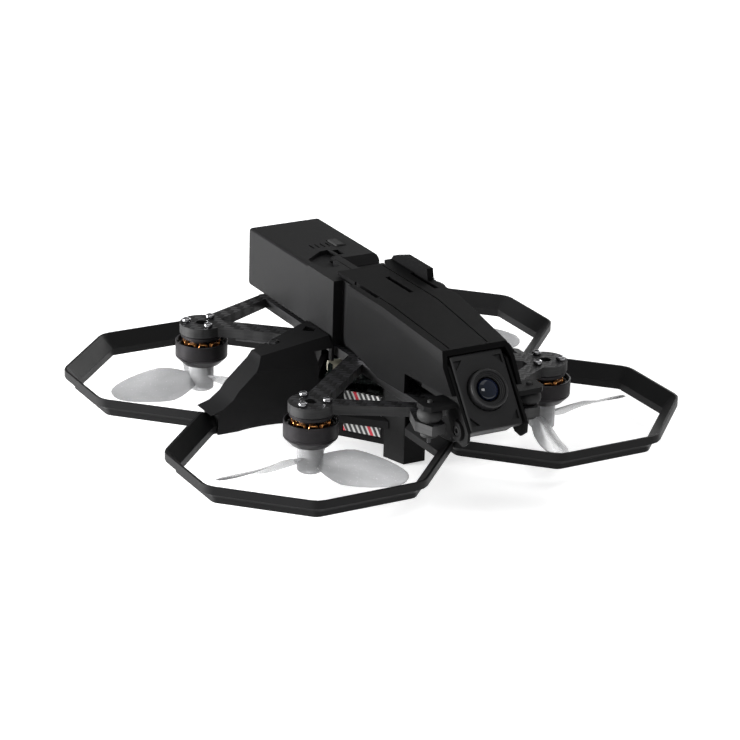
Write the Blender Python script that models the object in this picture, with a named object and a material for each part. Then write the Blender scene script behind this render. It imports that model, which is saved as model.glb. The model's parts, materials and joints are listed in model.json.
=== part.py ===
"""Ducted quad-rotor racing drone with pusher propellers, a slide-in battery and a tilting camera.

Lengths are in millimetres. Heights are measured from the top of the propeller guards, and
OFFSET moves the finished object so that its feet stand on z = 0 and its box is centred.
The nose points to -Y and the drone's own left side is +X.
"""
import math

import bmesh
import bpy
from mathutils import Matrix, Vector

MM = 0.001
GAP = 0.3
OFFSET = Vector((0.0, 0.6, 16.0))

# propulsion layout
MOTOR_X = 40.2
MOTOR_Y = 36.5
PROP_RADIUS = 31.75
BELL_RADIUS = 8.2
BELL_TOP = 8.2
BELL_BOTTOM = 0.4
HUB_RADIUS = 4.0
HUB_BOTTOM = -8.2
BLADE_Z = -4.4

# propeller guards
GUARD_HALF_X = 41.1
GUARD_HALF_Y = 37.7
GUARD_CHAMFER = 23.8
GUARD_ROUND = 6.0

# carbon arm plate
PLATE_LOW = 10.8
PLATE_HIGH = 13.8
PLATE_HALF = 12.3

# lower body
BELLY_LOW = -12.0
BELLY_HIGH = 10.5
BELLY_LEDGE = 3.4
FOOT_LOW = -16.0
BELLY_WALL = 1.8

# battery and its sleeve
BATTERY_HALF = 12.7
BATTERY_TOP = 34.3
BATTERY_LOW = 15.0
BATTERY_REAR = 59.3
BATTERY_SEAM = 17.4
SLEEVE_HALF = 13.4
SLEEVE_TOP = 34.9
SLEEVE_FRONT = 0.5
PLUG_HALF = 9.8

# canopy
LID_Z = 36.45
LID_HALF = 13.15
WALL_HALF = 13.9
BEND_Y = -29.5
RIM_Y = -60.4
RIM_Z = 32.9
RIM_HALF = 10.8

# camera
TILT = math.radians(37.0)
CAMERA_HALF = 8.9
CAMERA_TOP_Y = -60.9
CAMERA_TOP_Z = 31.2
LENS_DOWN = 11.8
PIVOT_DOWN = 21.0
PIVOT_BACK = 4.2
DAMPER_Y = -64.6

for old in list(bpy.data.objects):
    bpy.data.objects.remove(old, do_unlink=True)


def material(name, colour, metallic, roughness, alpha=1.0):
    """Return a Principled material, made once per name."""
    found = bpy.data.materials.get(name)
    if found:
        return found
    made = bpy.data.materials.new(name)
    made.use_nodes = True
    shader = made.node_tree.nodes["Principled BSDF"]
    shader.inputs["Base Color"].default_value = (*colour, 1.0)
    shader.inputs["Metallic"].default_value = metallic
    shader.inputs["Roughness"].default_value = roughness
    shader.inputs["Alpha"].default_value = alpha
    return made


BLACK = ("shell_black", (0.022, 0.022, 0.024), 0.0, 0.55)
CARBON = ("carbon_weave", (0.03, 0.03, 0.032), 0.0, 0.38)
PACK = ("battery_black", (0.028, 0.028, 0.03), 0.0, 0.6)
RUBBER = ("rubber_black", (0.02, 0.02, 0.02), 0.0, 0.85)
BELL = ("bell_black", (0.03, 0.03, 0.035), 0.8, 0.4)
COPPER = ("winding_copper", (0.75, 0.4, 0.16), 1.0, 0.35)
ALLOY = ("alloy_grey", (0.45, 0.46, 0.48), 1.0, 0.4)
STEEL = ("screw_steel", (0.5, 0.5, 0.52), 1.0, 0.3)
MAGNET = ("magnet_nickel", (0.6, 0.6, 0.6), 1.0, 0.3)
SMOKE = ("smoke_plastic", (0.45, 0.45, 0.46), 0.0, 0.25)
BOARD = ("circuit_board", (0.02, 0.05, 0.03), 0.0, 0.45)
LABEL = ("label_white", (0.8, 0.8, 0.78), 0.0, 0.5)
GLASS = ("lens_glass", (0.02, 0.03, 0.06), 0.0, 0.05)
LENS = ("lens_black", (0.02, 0.02, 0.02), 0.0, 0.3)
WIRE = ("wire_black", (0.03, 0.03, 0.03), 0.0, 0.6)
GOLD = ("contact_gold", (0.8, 0.6, 0.25), 1.0, 0.3)


def place(name, bm, look, smooth=True):
    """Turn a millimetre bmesh into a named object in the finished frame."""
    bmesh.ops.remove_doubles(bm, verts=bm.verts, dist=0.002)
    bmesh.ops.recalc_face_normals(bm, faces=bm.faces)
    if bm.calc_volume(signed=True) < 0.0:
        bmesh.ops.reverse_faces(bm, faces=bm.faces)
    for vert in bm.verts:
        vert.co = (vert.co + OFFSET) * MM
    mesh = bpy.data.meshes.new(name)
    bm.to_mesh(mesh)
    bm.free()
    mesh.materials.append(material(*look))
    obj = bpy.data.objects.new(name, mesh)
    bpy.context.scene.collection.objects.link(obj)
    if smooth:
        mesh.shade_smooth()
        mesh.set_sharp_from_angle(angle=math.radians(35.0))
    return obj


def set_origin(obj, x, y, z):
    """Move an object's origin to a point given in millimetres, keeping its shape in place."""
    point = (Vector((x, y, z)) + OFFSET) * MM
    obj.data.transform(Matrix.Translation(-point))
    obj.location = point
    return obj


def append_mesh(bm, other):
    """Add the geometry of one bmesh to another."""
    mesh = bpy.data.meshes.new("scratch")
    other.to_mesh(mesh)
    other.free()
    bm.from_mesh(mesh)
    bpy.data.meshes.remove(mesh)
    return bm


def prism_z(points, low, high):
    """Extrude a plan outline, given as (x, y), between two heights."""
    bm = bmesh.new()
    face = bm.faces.new([bm.verts.new((x, y, low)) for x, y in points])
    grown = bmesh.ops.extrude_face_region(bm, geom=[face])
    moved = [item for item in grown["geom"] if isinstance(item, bmesh.types.BMVert)]
    bmesh.ops.translate(bm, verts=moved, vec=(0.0, 0.0, high - low))
    return bm


def prism_x(points, low, high):
    """Extrude a side outline, given as (y, z), between two x positions."""
    bm = bmesh.new()
    face = bm.faces.new([bm.verts.new((low, y, z)) for y, z in points])
    grown = bmesh.ops.extrude_face_region(bm, geom=[face])
    moved = [item for item in grown["geom"] if isinstance(item, bmesh.types.BMVert)]
    bmesh.ops.translate(bm, verts=moved, vec=(high - low, 0.0, 0.0))
    return bm


def box(low, high):
    """Return an axis-aligned block."""
    outline = [(low[0], low[1]), (high[0], low[1]), (high[0], high[1]), (low[0], high[1])]
    return prism_z(outline, low[2], high[2])


def rounded(points, radius, steps=3):
    """Round every corner of a plan outline."""
    out = []
    count = len(points)
    for index in range(count):
        here = Vector(points[index])
        before = (Vector(points[index - 1]) - here).normalized()
        after = (Vector(points[(index + 1) % count]) - here).normalized()
        half = before.angle(after) / 2.0
        reach = radius / math.tan(half)
        centre = here + (before + after).normalized() * (radius / math.sin(half))
        start = here + before * reach - centre
        end = here + after * reach - centre
        sweep = start.angle_signed(end)
        for step in range(steps + 1):
            turn = Matrix.Rotation(-sweep * step / steps, 2)
            out.append(tuple(centre + turn @ start))
    return out


def mirrored(points):
    """Complete a right-hand half outline (x < 0, front to rear) with its mirror image."""
    return list(points) + [(-x, y) for x, y in reversed(points)]


def lathe(profile, centre, segments=32, axis="Z"):
    """Spin a closed (radius, height) profile about a vertical or lateral axis."""
    bm = bmesh.new()
    rings = []
    for step in range(segments):
        angle = 2.0 * math.pi * step / segments
        ring = []
        for radius, height in profile:
            ring.append(bm.verts.new((radius * math.cos(angle), radius * math.sin(angle), height)))
        rings.append(ring)
    count = len(profile)
    for step in range(segments):
        here = rings[step]
        there = rings[(step + 1) % segments]
        for index in range(count):
            after = (index + 1) % count
            bm.faces.new((here[index], there[index], there[after], here[after]))
    bmesh.ops.remove_doubles(bm, verts=bm.verts, dist=0.0005)
    loose = [edge for edge in bm.edges if not edge.link_faces]
    bmesh.ops.delete(bm, geom=loose, context="EDGES")
    if axis == "X":
        bmesh.ops.rotate(bm, verts=bm.verts, matrix=Matrix.Rotation(math.pi / 2.0, 3, "Y"))
    if axis == "Y":
        bmesh.ops.rotate(bm, verts=bm.verts, matrix=Matrix.Rotation(math.pi / 2.0, 3, "X"))
    bmesh.ops.translate(bm, verts=bm.verts, vec=centre)
    return bm


def rod(radius, low, high, centre, segments=24, axis="Z", edge=0.0):
    """Return a solid round bar with an optional small chamfer."""
    profile = [(0.0, low), (radius - edge, low), (radius, low + edge)]
    profile += [(radius, high - edge), (radius - edge, high), (0.0, high)]
    bm = bmesh.new()
    rings = []
    for step in range(segments):
        angle = 2.0 * math.pi * step / segments
        ring = []
        for size, height in profile[1:-1]:
            ring.append(bm.verts.new((size * math.cos(angle), size * math.sin(angle), height)))
        rings.append(ring)
    for step in range(segments):
        here = rings[step]
        there = rings[(step + 1) % segments]
        for index in range(len(here) - 1):
            bm.faces.new((here[index], there[index], there[index + 1], here[index + 1]))
    bm.faces.new([ring[0] for ring in rings])
    bm.faces.new([ring[-1] for ring in rings])
    bmesh.ops.remove_doubles(bm, verts=bm.verts, dist=0.0005)
    if axis == "X":
        bmesh.ops.rotate(bm, verts=bm.verts, matrix=Matrix.Rotation(math.pi / 2.0, 3, "Y"))
    if axis == "Y":
        bmesh.ops.rotate(bm, verts=bm.verts, matrix=Matrix.Rotation(math.pi / 2.0, 3, "X"))
    bmesh.ops.translate(bm, verts=bm.verts, vec=centre)
    return bm


def tube_path(points, radius, sides=8):
    """Sweep a round section along a path of points."""
    bm = bmesh.new()
    path = [Vector(point) for point in points]
    rings = []
    for index, point in enumerate(path):
        ahead = path[min(index + 1, len(path) - 1)]
        behind = path[max(index - 1, 0)]
        along = (ahead - behind).normalized()
        side = along.cross(Vector((0.0, 0.0, 1.0)))
        side = side.normalized() if side.length > 0.05 else Vector((1.0, 0.0, 0.0))
        up = side.cross(along).normalized()
        ring = []
        for step in range(sides):
            angle = 2.0 * math.pi * step / sides
            ring.append(bm.verts.new(point + radius * (math.cos(angle) * side + math.sin(angle) * up)))
        rings.append(ring)
    for index in range(len(rings) - 1):
        for step in range(sides):
            after = (step + 1) % sides
            bm.faces.new((rings[index][step], rings[index][after],
                          rings[index + 1][after], rings[index + 1][step]))
    bm.faces.new(rings[0])
    bm.faces.new(rings[-1])
    return bm


def combine(base, other, operation):
    """Apply one exact boolean between two bmeshes and return the result."""
    objects = []
    for tag, bm in (("base", base), ("other", other)):
        bmesh.ops.recalc_face_normals(bm, faces=bm.faces)
        mesh = bpy.data.meshes.new(tag)
        bm.to_mesh(mesh)
        bm.free()
        obj = bpy.data.objects.new(tag, mesh)
        bpy.context.scene.collection.objects.link(obj)
        objects.append(obj)
    modifier = objects[0].modifiers.new("cut", "BOOLEAN")
    modifier.operation = operation
    modifier.solver = "EXACT"
    modifier.object = objects[1]
    graph = bpy.context.evaluated_depsgraph_get()
    result = bpy.data.meshes.new_from_object(objects[0].evaluated_get(graph))
    out = bmesh.new()
    out.from_mesh(result)
    bpy.data.meshes.remove(result)
    for obj in objects:
        mesh = obj.data
        bpy.data.objects.remove(obj, do_unlink=True)
        bpy.data.meshes.remove(mesh)
    bmesh.ops.remove_doubles(out, verts=out.verts, dist=0.003)
    bmesh.ops.dissolve_degenerate(out, edges=out.edges, dist=0.003)
    bmesh.ops.dissolve_limit(out, angle_limit=math.radians(0.05), verts=out.verts, edges=out.edges)
    return out


def bevelled(bm, width, steps=2, limit=30.0):
    """Round the sharp edges of a bmesh."""
    sharp = []
    for edge in bm.edges:
        if len(edge.link_faces) == 2 and edge.calc_face_angle(0.0) > math.radians(limit):
            sharp.append(edge)
    bmesh.ops.bevel(bm, geom=sharp, offset=width, segments=steps, profile=0.5,
                    affect="EDGES", clamp_overlap=True)
    return bm


def flipped(bm, sx, sy):
    """Mirror a bmesh into another quadrant."""
    bmesh.ops.scale(bm, vec=(sx, sy, 1.0), verts=bm.verts)
    if sx * sy < 0:
        bmesh.ops.reverse_faces(bm, faces=bm.faces)
    return bm


# the four quadrants: label, sign of x, sign of y, and the rest angle of the first blade
CORNERS = (
    ("front_right", -1, -1, -55.0),
    ("front_left", 1, -1, 5.0),
    ("rear_right", -1, 1, -175.0),
    ("rear_left", 1, 1, -28.0),
)

# plan outlines of the lower body, right half from nose to tail
BELLY_HALF = [(-3.7, -28.6), (-6.2, -20.4), (-15.0, -8.6), (-18.2, -4.3),
              (-18.2, 4.3), (-15.0, 8.6), (-6.2, 20.4), (-3.7, 28.6)]


def grow(points, amount):
    """Offset a clockwise plan outline outwards by an amount (inwards when negative)."""
    out = []
    count = len(points)
    for index in range(count):
        here = Vector(points[index])
        arriving = (here - Vector(points[index - 1])).normalized()
        leaving = (Vector(points[(index + 1) % count]) - here).normalized()
        outward = Vector((-arriving.y, arriving.x))
        miter = (outward + Vector((-leaving.y, leaving.x))).normalized()
        out.append(tuple(here + miter * (amount / max(0.2, miter.dot(outward)))))
    return out


def make_guard():
    """One octagonal guard ring in the front-right quadrant, before it is trimmed."""
    profile = [(0.0, 0.0), (0.7, 0.0), (4.7, -3.9), (4.7, -6.3), (3.2, -6.3), (3.2, -4.75), (1.2, -2.5), (0.0, -2.5)]
    corners = []
    inset = GUARD_ROUND
    hx = GUARD_HALF_X
    hy = GUARD_HALF_Y
    cut = GUARD_CHAMFER
    ends = [(hx, -hy + cut), (hx, hy - cut), (hx - cut, hy), (-hx + cut, hy),
            (-hx, hy - cut), (-hx, -hy + cut), (-hx + cut, -hy), (hx - cut, -hy)]
    count = len(ends)
    bm = bmesh.new()
    rings = []
    for index in range(count):
        here = Vector(ends[index])
        before = (Vector(ends[index - 1]) - here).normalized()
        after = (Vector(ends[(index + 1) % count]) - here).normalized()
        half = before.angle(after) / 2.0
        centre = here + (before + after).normalized() * (inset / math.sin(half))
        for step in range(3):
            angle = math.pi / 4.0 * (index - 1) + math.pi / 8.0 * step
            corners.append((centre, angle))
    for centre, angle in corners:
        ring = []
        for depth, height in profile:
            reach = inset - depth
            ring.append(bm.verts.new((centre.x + reach * math.cos(angle),
                                      centre.y + reach * math.sin(angle), height)))
        rings.append(ring)
    total = len(rings)
    size = len(profile)
    for index in range(total):
        here = rings[index]
        there = rings[(index + 1) % total]
        for step in range(size):
            after = (step + 1) % size
            bm.faces.new((here[step], there[step], there[after], here[after]))
    bmesh.ops.translate(bm, verts=bm.verts, vec=(-MOTOR_X, -MOTOR_Y, 0.0))
    return bm


def trim(bm, point, normal):
    """Cut a closed bmesh with a plane, keep the side behind the normal and close it."""
    geometry = list(bm.verts) + list(bm.edges) + list(bm.faces)
    cut = bmesh.ops.bisect_plane(bm, geom=geometry, dist=0.0001, plane_co=point, plane_no=normal,
                                 clear_outer=True)
    edges = [item for item in cut["geom_cut"] if isinstance(item, bmesh.types.BMEdge)]
    bmesh.ops.holes_fill(bm, edges=edges, sides=0)
    return bm


for label, sx, sy, angle in CORNERS:
    ring = flipped(make_guard(), -sx, -sy)
    trim(ring, (sx * 0.15, 0.0, 0.0), (-sx, 0.0, 0.0))
    trim(ring, (0.0, sy * 0.15, 0.0), (0.0, -sy, 0.0))
    room = prism_z(grow(mirrored(BELLY_HALF), GAP), -20.0, 20.0)
    ring = combine(ring, room, "DIFFERENCE")
    place("guard_" + label, ring, BLACK)


# lower body: an open diamond-shaped tray whose two ends rise to the plate and stand on feet
outer = prism_z(rounded(mirrored(BELLY_HALF), 0.8, 2), BELLY_LOW, BELLY_HIGH)
hollow = prism_z(grow(mirrored(BELLY_HALF), -BELLY_WALL), BELLY_LOW + BELLY_WALL, BELLY_HIGH + 5.0)
tray = combine(outer, hollow, "DIFFERENCE")
tray = combine(tray, box((-20.0, -20.0, BELLY_LEDGE), (20.0, 20.0, BELLY_HIGH + 5.0)), "DIFFERENCE")
foot = [(-3.7, -28.6), (-6.2, -20.4), (6.2, -20.4), (3.7, -28.6)]
for side in (-1, 1):
    tray = combine(tray, flipped(prism_z(foot, FOOT_LOW, BELLY_LOW + 1.0), 1, side), "UNION")
vents = bmesh.new()
for step in range(5):
    y = -12.0 + 5.4 * step
    append_mesh(vents, box((-6.0, y, BELLY_LOW - 1.0), (6.0, y + 2.4, BELLY_LOW + 3.0)))
tray = combine(tray, vents, "DIFFERENCE")

# striped panels let into the forward tapered faces of the tray
start = Vector((-6.2, -20.4))
run = (Vector((-15.0, -8.6)) - start).normalized()
out = Vector((-run.y, run.x))
for label, side in (("right", 1), ("left", -1)):
    pocket = [start + run * 0.9 + out, start + run * 13.9 + out,
              start + run * 13.9 - out * 0.8, start + run * 0.9 - out * 0.8]
    pocket = prism_z([tuple(point) for point in pocket], -10.2, 5.0)
    tray = combine(tray, flipped(pocket, side, 1), "DIFFERENCE")
    panel = [start + run * 1.2, start + run * 13.6, start + run * 13.6 - out * 0.5, start + run * 1.2 - out * 0.5]
    panel = prism_z([tuple(point) for point in panel], -9.9, 3.2)
    place("stripe_panel_" + label, flipped(panel, side, 1), LABEL)
place("belly_tray", tray, BLACK)

# carbon plate with four V-shaped arms
def leg(start, end, width_start, width_end):
    """Return one straight arm leg between two plan points."""
    a = Vector(start)
    b = Vector(end)
    along = (b - a).normalized()
    across = Vector((-along.y, along.x))
    points = [a + across * width_start / 2.0, b + across * width_end / 2.0,
              b - across * width_end / 2.0, a - across * width_start / 2.0]
    return prism_z([tuple(point) for point in points], PLATE_LOW, PLATE_HIGH)


spine = [(-PLATE_HALF, 52.0), (-PLATE_HALF, -51.0), (-17.6, -54.8), (-20.4, -62.8), (-18.2, -68.8),
         (-13.4, -68.2), (-11.2, -56.5)]
plate = prism_z(spine + [(-x, y) for x, y in reversed(spine)], PLATE_LOW, PLATE_HIGH)
for label, sx, sy, angle in CORNERS:
    hub = (sx * MOTOR_X, sy * MOTOR_Y)
    outer_y = -54.0 if sy < 0 else 50.3
    width = 3.8
    plate = combine(plate, leg(hub, (sx * 10.5, outer_y), 5.6, width), "UNION")
    plate = combine(plate, leg(hub, (sx * 10.5, sy * 10.6), 6.4, 6.4), "UNION")
    plate = combine(plate, rod(6.9, PLATE_LOW, PLATE_HIGH, (hub[0], hub[1], 0.0), 22), "UNION")
holes = bmesh.new()
for label, sx, sy, angle in CORNERS:
    append_mesh(holes, rod(1.9, PLATE_LOW - 1.0, PLATE_HIGH + 1.0, (sx * MOTOR_X, sy * MOTOR_Y, 0.0), 12))
    for step in range(3):
        turn = math.radians(90.0 * -sy + 120.0 * step)
        spot = (sx * MOTOR_X + 4.7 * math.cos(turn), sy * MOTOR_Y + 4.7 * math.sin(turn), 0.0)
        append_mesh(holes, rod(1.15, PLATE_LOW - 1.0, PLATE_HIGH + 1.0, spot, 8))
for sx in (-1, 1):
    append_mesh(holes, rod(2.3, PLATE_LOW - 1.0, PLATE_HIGH + 1.0, (sx * 16.7, DAMPER_Y, 0.0), 14))
    for y in (-12.75, 12.75):
        append_mesh(holes, rod(1.9, PLATE_LOW - 1.0, PLATE_HIGH + 1.0, (sx * 9.5, y, 0.0), 10))
plate = combine(plate, holes, "DIFFERENCE")
place("carbon_plate", plate, CARBON)


def screw(centre, low, high, head=1.45, shank=0.8, height=1.1):
    """Return a button-head screw standing on z = high, with its shank reaching down to low."""
    profile = [(0.0, low), (shank, low), (shank, high), (head, high), (head, high + height * 0.55),
               (head * 0.7, high + height), (0.0, high + height)]
    return spin(profile, centre, 8)


def spin(profile, centre, segments=32):
    """Spin an open profile that starts and ends on the axis into a closed solid."""
    bm = bmesh.new()
    rings = []
    for step in range(segments):
        angle = 2.0 * math.pi * step / segments
        rings.append([bm.verts.new((radius * math.cos(angle), radius * math.sin(angle), height))
                      for radius, height in profile[1:-1]])
    low = bm.verts.new((0.0, 0.0, profile[0][1]))
    top = bm.verts.new((0.0, 0.0, profile[-1][1]))
    for step in range(segments):
        here = rings[step]
        there = rings[(step + 1) % segments]
        bm.faces.new((low, there[0], here[0]))
        for index in range(len(here) - 1):
            bm.faces.new((here[index], there[index], there[index + 1], here[index + 1]))
        bm.faces.new((here[-1], there[-1], top))
    bmesh.ops.translate(bm, verts=bm.verts, vec=centre)
    return bm


def blade(hand):
    """Return one propeller blade pointing along +X, pitched for the given direction of spin."""
    stations = [(3.2, 5.0, 1.5), (7.0, 8.9, 1.3), (12.5, 12.4, 1.1), (19.0, 12.5, 0.9), (26.0, 10.2, 0.75),
                (30.2, 6.6, 0.6), (PROP_RADIUS, 2.4, 0.45)]
    section = [(-0.5, 0.0), (-0.2, 0.48), (0.2, 0.42), (0.5, 0.0), (0.2, -0.3), (-0.2, -0.34)]
    bm = bmesh.new()
    rings = []
    for radius, chord, thick in stations:
        pitch = min(math.radians(40.0), math.atan(63.5 / (2.0 * math.pi * radius)))
        ring = []
        for along, up in section:
            flat = chord * along
            lift = thick * up + 0.5 * (0.25 - along * along)
            y = flat * math.cos(pitch) - lift * math.sin(pitch) * hand
            z = flat * math.sin(pitch) * hand + lift * math.cos(pitch)
            ring.append(bm.verts.new((radius, y, z + BLADE_Z)))
        rings.append(ring)
    for index in range(len(rings) - 1):
        for step in range(len(section)):
            after = (step + 1) % len(section)
            bm.faces.new((rings[index][step], rings[index][after], rings[index + 1][after], rings[index + 1][step]))
    bm.faces.new(rings[0])
    bm.faces.new(rings[-1])
    return bm


# motors: the stator hangs under the arm and the bell, shaft and propeller turn below it
for label, sx, sy, angle in CORNERS:
    x = sx * MOTOR_X
    y = sy * MOTOR_Y
    base = lathe([(1.1, 2.6), (2.5, 2.6), (2.5, 9.4), (6.4, 9.4), (6.4, 10.5), (1.1, 10.5)], (x, y, 0.0), 18)
    for step in range(3):
        turn = math.radians(90.0 * -sy + 120.0 * step)
        spot = (x + 4.7 * math.cos(turn), y + 4.7 * math.sin(turn), 0.0)
        base = combine(base, screw(spot, 9.9, PLATE_HIGH + 0.3), "UNION")
    place("motor_base_" + label, base, ALLOY)

    coil = bmesh.new()
    lobes = 9
    count = lobes * 4
    levels = [(3.6, 0.2), (8.95, 0.2)]
    rings = []
    for height, swell in levels:
        outer_ring = []
        for step in range(count):
            turn = 2.0 * math.pi * step / count
            wave = 0.5 + 0.5 * math.cos(lobes * turn)
            radius = 4.9 + swell + 0.9 * wave ** 0.6
            outer_ring.append(coil.verts.new((x + radius * math.cos(turn), y + radius * math.sin(turn), height)))
        rings.append(outer_ring)
    inner_low = [coil.verts.new((x + 2.8 * math.cos(2.0 * math.pi * k / count),
                                 y + 2.8 * math.sin(2.0 * math.pi * k / count), 3.6)) for k in range(count)]
    inner_top = [coil.verts.new((x + 2.8 * math.cos(2.0 * math.pi * k / count),
                                 y + 2.8 * math.sin(2.0 * math.pi * k / count), 8.95)) for k in range(count)]
    rings = [inner_low] + rings + [inner_top]
    for index in range(len(rings)):
        here = rings[index]
        there = rings[(index + 1) % len(rings)]
        for step in range(count):
            after = (step + 1) % count
            coil.faces.new((here[step], here[after], there[after], there[step]))
    place("stator_winding_" + label, coil, COPPER)

    bell = lathe([(1.05, BELL_BOTTOM), (5.8, BELL_BOTTOM), (BELL_RADIUS, 2.9), (BELL_RADIUS, BELL_TOP),
                  (7.6, BELL_TOP), (7.6, 2.9), (5.4, 1.5), (1.05, 1.5)], (x, y, 0.0), 22)
    set_origin(place("motor_bell_" + label, bell, BELL), x, y, BELL_BOTTOM)
    magnets = lathe([(6.7, 3.0), (7.3, 3.0), (7.3, 6.8), (6.7, 6.8)], (x, y, 0.0), 16)
    set_origin(place("magnet_ring_" + label, magnets, MAGNET), x, y, BELL_BOTTOM)
    shaft = rod(0.75, -7.9, 9.0, (x, y, 0.0), 12)
    set_origin(place("motor_shaft_" + label, shaft, STEEL), x, y, BELL_BOTTOM)

    hand = 1.0 if sx * sy > 0 else -1.0
    prop = lathe([(1.05, HUB_BOTTOM), (3.4, HUB_BOTTOM), (HUB_RADIUS, HUB_BOTTOM + 0.6), (HUB_RADIUS, 0.1),
                  (1.05, 0.1)], (0.0, 0.0, 0.0), 20)
    for step in range(3):
        wing = blade(hand)
        bmesh.ops.rotate(wing, verts=wing.verts, matrix=Matrix.Rotation(math.radians(angle + 120.0 * step), 3, "Z"))
        prop = combine(prop, wing, "UNION")
    bmesh.ops.translate(prop, verts=prop.verts, vec=(x, y, 0.0))
    set_origin(place("propeller_" + label, prop, SMOKE), x, y, BELL_BOTTOM)

    start = Vector((sx * (MOTOR_X - 8.8), sy * (MOTOR_Y - 7.2)))
    end = Vector((sx * 21.4, sy * 20.2))
    along = (end - start).normalized()
    across = Vector((-along.y, along.x))
    outline = [(-2.1, 9.75), (-1.75, 9.25), (-1.0, 9.25), (-0.7, 9.55), (-0.35, 9.25), (0.35, 9.25), (0.7, 9.55),
               (1.0, 9.25), (1.75, 9.25), (2.1, 9.75), (1.75, 10.25), (1.0, 10.25), (0.7, 9.95), (0.35, 10.25),
               (-0.35, 10.25), (-0.7, 9.95), (-1.0, 10.25), (-1.75, 10.25)]
    ribbon = bmesh.new()
    ends = [[ribbon.verts.new((*(point + across * side), height)) for side, height in outline]
            for point in (start, end)]
    for index in range(len(outline)):
        after = (index + 1) % len(outline)
        ribbon.faces.new((ends[0][index], ends[0][after], ends[1][after], ends[1][index]))
    ribbon.faces.new(ends[0])
    ribbon.faces.new(ends[1])
    place("motor_lead_" + label, ribbon, WIRE)

# side fairings: a bulkhead over the joint of the guards, rising to a wedge against the body
def fairing():
    """Return the right-hand fairing."""
    profile = [(-57.0, -6.3), (-57.0, 0.4), (-53.0, 1.6), (-49.6, 4.1), (-47.6, 6.8), (-40.4, 13.3), (-38.8, 15.4),
               (-13.9, 17.2), (-13.9, 14.1), (-20.7, 14.1), (-20.7, -6.3)]
    bm = bmesh.new()
    face = bm.faces.new([bm.verts.new((px, -26.0, pz)) for px, pz in profile])
    grown = bmesh.ops.extrude_face_region(bm, geom=[face])
    moved = [item for item in grown["geom"] if isinstance(item, bmesh.types.BMVert)]
    bmesh.ops.translate(bm, verts=moved, vec=(0.0, 52.0, 0.0))
    web = prism_z([(-60.0, -4.8), (-60.0, 4.8), (-38.0, 4.8), (-13.0, 16.6), (-13.0, -4.8)], -10.0, 25.0)
    bm = combine(bm, web, "INTERSECT")
    slope = bmesh.new()
    lines = [((-62.0, -8.0, 11.2), (-62.0, -4.6, 13.2), (-62.0, -1.2, 16.2), (-62.0, 0.2, 19.0)),
             ((-10.0, -8.0, 8.4), (-10.0, -4.8, 10.4), (-10.0, 2.3, 17.6), (-10.0, 3.8, 22.0))]
    rows = [[slope.verts.new(point) for point in line] for line in lines]
    backs = [[slope.verts.new((line[0][0], -9.0, 25.0)), slope.verts.new((line[0][0], 3.8, 25.0))] for line in lines]
    loops = [rows[0] + [backs[0][1], backs[0][0]], rows[1] + [backs[1][1], backs[1][0]]]
    for index in range(6):
        after = (index + 1) % 6
        slope.faces.new((loops[0][index], loops[0][after], loops[1][after], loops[1][index]))
    slope.faces.new(loops[0])
    slope.faces.new(loops[1])
    bm = combine(bm, slope, "DIFFERENCE")
    bm = combine(bm, box((-62.0, 5.1, -12.0), (-12.0, 30.0, PLATE_HIGH + GAP)), "DIFFERENCE")
    bm = combine(bm, rod(2.8, 6.0, 14.6, (-30.6, 6.6, 0.0), 14), "UNION")
    seat = prism_x([(-3.8, -8.0), (-3.8, -3.6), (-0.5, 0.35), (0.5, 0.35), (3.8, -3.6), (3.8, -8.0)], -62.0, -12.0)
    bm = combine(bm, seat, "DIFFERENCE")
    for outside, inside in ((-62.0, -54.6), (-25.6, -12.0)):
        bm = combine(bm, box((outside, -10.0, -12.0), (inside, 10.0, 0.35)), "DIFFERENCE")
    for sy in (-1, 1):
        swept = rod(PROP_RADIUS + 0.9, -12.0, -0.5, (-MOTOR_X, sy * MOTOR_Y, 0.0), 72)
        bm = combine(bm, swept, "DIFFERENCE")
    leg_room = bmesh.new()
    for sy in (-1, 1):
        a = Vector((-MOTOR_X, sy * MOTOR_Y))
        b = Vector((-10.5, sy * 10.6))
        along = (b - a).normalized()
        across = Vector((-along.y, along.x)) * 3.7
        append_mesh(leg_room, prism_z([tuple(a + across), tuple(b + across), tuple(b - across), tuple(a - across)],
                                      PLATE_LOW - GAP, PLATE_HIGH + GAP))
    bm = combine(bm, leg_room, "DIFFERENCE")
    spine_room = box((-20.6, -20.0, -10.0), (-10.0, 30.0, 14.1))
    bm = combine(bm, spine_room, "DIFFERENCE")
    bm = combine(bm, rod(2.1, 14.9, 30.0, (-30.6, 6.6, 0.0), 16), "DIFFERENCE")
    bm = combine(bm, rod(1.0, 7.4, 16.0, (-30.6, 6.6, 0.0), 10), "DIFFERENCE")
    diamond = rod(2.6, 13.0, 30.0, (-16.4, 9.6, 0.0), 4)
    return combine(bm, diamond, "DIFFERENCE")


for label, sx in (("right", 1), ("left", -1)):
    place("side_fairing_" + label, flipped(fairing(), sx, 1), BLACK)

for label, sx in (("right", -1), ("left", 1)):
    head = [(0.0, 7.8), (0.7, 7.8), (0.7, 15.2), (1.6, 15.2), (1.6, 15.8), (1.1, 16.2), (0.0, 16.2)]
    place("fairing_screw_" + label, spin(head, (sx * 30.6, 6.6, 0.0), 12), STEEL)

# nose block: a spacer that stands on the joint of the guards and carries the front of the plate
nose = prism_z([(-3.2, -36.0), (3.2, -36.0), (3.2, -50.0), (2.2, -54.0), (-2.2, -54.0), (-3.2, -50.0)], 0.4, 10.5)
place("nose_block", bevelled(nose, 0.5, 1), BLACK)

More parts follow.
